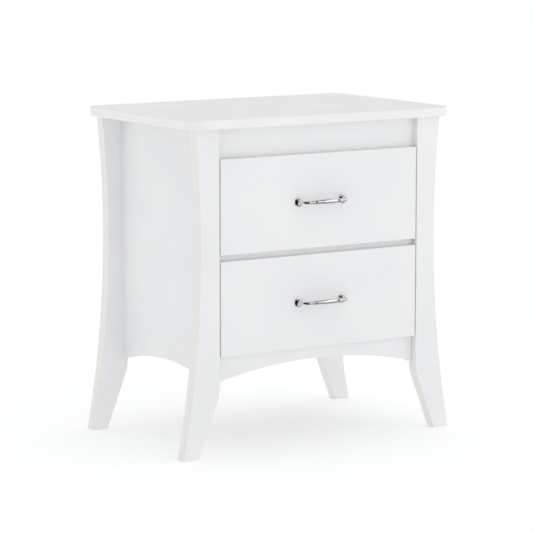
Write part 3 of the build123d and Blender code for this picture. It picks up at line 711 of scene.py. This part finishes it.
# %% Dress the CAD nodes
for node, finish in CAD_FINISH.items():
    for material_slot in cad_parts[node].material_slots:
        material_slot.material = finish
bare = [n for n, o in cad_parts.items() if n not in CAD_FINISH and not o.hide_render]
assert not bare, bare
print("dressed", len(CAD_FINISH), "CAD nodes; bare:", bare)

# %% [markdown]
# ## The studio
#
# A white piece on white ground needs light from nearly everywhere, or its shadows turn heavy.
# So the world is a bright, even dome that is only a little dimmer on the left, which is what
# gives the side of the carcase its tone. The floor is a pale sheet, and the dome brightens
# towards the horizon until it is as white as the floor, so no line shows where they meet.

# %% Floor and dome
FLOOR_HALF = 40.0


def floor_grid(half, cells):
    """Points and quads of a flat square sheet: x and y run evenly from -half to half at height 0."""
    line = np.linspace(-half, half, cells + 1)
    x, y = np.meshgrid(line, line, indexing="ij")
    points = np.stack((x, y, 0 * x), axis=-1).reshape(-1, 3)
    i, j = np.meshgrid(np.arange(cells), np.arange(cells), indexing="ij")
    first = i * (cells + 1) + j
    return points, np.stack((first, first + cells + 1, first + cells + 2, first + 1), axis=-1).reshape(-1, 4)


points, quads = floor_grid(FLOOR_HALF, 8)
floor_mesh = bpy.data.meshes.new("studio_floor")
floor_mesh.from_pydata(points, [], quads.tolist())
floor = bpy.data.objects.new("studio_floor", floor_mesh)
scene.collection.objects.link(floor)
floor_paper, tree, shader, place = new_finish("floor_paper")
mottle = in_range(tree, noise(tree, place, 1.5), 0, 1)
paper = blend_colours(tree, mottle, (0.97, 0.97, 0.97), (0.96, 0.96, 0.96))
tree.links.new(paper, shader.inputs["Base Color"])
shader.inputs["Roughness"].default_value = 0.9
shader.inputs["Specular IOR Level"].default_value = 0.0
shader.inputs["Emission Color"].default_value = (1.0, 1.0, 1.0, 1.0)
shader.inputs["Emission Strength"].default_value = 0.18
floor_mesh.materials.append(floor_paper)

DOME, DOME_LEFT, HORIZON = 0.895, 0.755, 1.02
dome = bpy.data.worlds.new("studio_dome")
dome.use_nodes = True
scene.world = dome
tree = dome.node_tree
background = tree.nodes["Background"]
direction = tree.nodes.new("ShaderNodeSeparateXYZ")
tree.links.new(tree.nodes.new("ShaderNodeTexCoord").outputs["Generated"], direction.inputs["Vector"])
sides = in_range(tree, direction.outputs["X"], DOME_LEFT, DOME, -0.95, -0.10)
horizon = in_range(tree, direction.outputs["Z"], HORIZON, 0.0, 0.03, 0.35)
tree.links.new(combine(tree, "MAXIMUM", sides, horizon), background.inputs["Strength"])
background.inputs["Color"].default_value = (0.985, 0.995, 1.0, 1.0)
print("dome strength", DOME, "falling to", DOME_LEFT, "on the left")

# %% [markdown]
# ## Softboxes and flags
#
# A softbox in front on the right lights the drawer fronts a little and runs a white band along
# each handle. Chrome only looks like chrome if part of what it mirrors is dark, so
# black cards and a grey one, called flags, stand round it. These flags are seen by mirrored
# rays only: they give the handles their dark lines and cast no shade on the white boards.

# %% Lights and flags
def softbox(name, place, aim, width, height, watts):
    """A rectangular area light at a place, turned to look at a point."""
    lamp = bpy.data.lights.new(name, "AREA")
    lamp.shape, lamp.size, lamp.size_y, lamp.energy = "RECTANGLE", width, height, watts
    box = bpy.data.objects.new(name, lamp)
    look = np.array(place) - np.array(aim)
    box.location = place
    box.rotation_euler = (math.acos(look[2] / np.linalg.norm(look)), 0.0, math.atan2(look[0], -look[1]))
    scene.collection.objects.link(box)
    return box


def level(x0, x1, y0, y1, z):
    """Corners of a level rectangle from x0 to x1 and y0 to y1 at the height z."""
    return (x0, y0, z), (x1, y0, z), (x1, y1, z), (x0, y1, z)


def flag(name, corners, brightness):
    """A flat card between four corners that only mirrored rays can see."""
    mesh = bpy.data.meshes.new(name)
    mesh.from_pydata(corners, [], [(0, 1, 2, 3)])
    card = bpy.data.objects.new(name, mesh)
    scene.collection.objects.link(card)
    card.visible_camera = card.visible_diffuse = card.visible_shadow = False
    card.visible_transmission = card.visible_volume_scatter = False
    material, _, shader, _ = new_finish(name)
    shader.inputs["Base Color"].default_value = (0.0, 0.0, 0.0, 1.0)
    shader.inputs["Specular IOR Level"].default_value = 0.0
    shader.inputs["Emission Color"].default_value = (1.0, 1.0, 1.0, 1.0)
    shader.inputs["Emission Strength"].default_value = brightness
    mesh.materials.append(material)
    return card


softbox("softbox_right", (2.2, -3.0, 1.25), (0, 0, 0.35), 0.9, 1.35, 4.0)
flag("flag_left", ((-2.0, -6.0, 0.0), (-2.0, 0.6, 0.0), (-2.0, 0.6, 3.6), (-2.0, -6.0, 3.6)), 0.01)
flag("flag_camera", ((-2.0, -6.0, 0.0), (0.4, -6.0, 0.0), (0.4, -6.0, 6.5), (-2.0, -6.0, 6.5)), 0.01)
flag("flag_above", level(-1.6, 1.6, -1.5, -0.3, 2.6), 0.01)
flag("flag_floor_left", level(-2.0, -0.02, -6.0, -0.25, 0.01), 0.02)
flag("flag_floor_right", level(-0.02, 1.8, -3.2, -0.25, 0.01), 0.36)
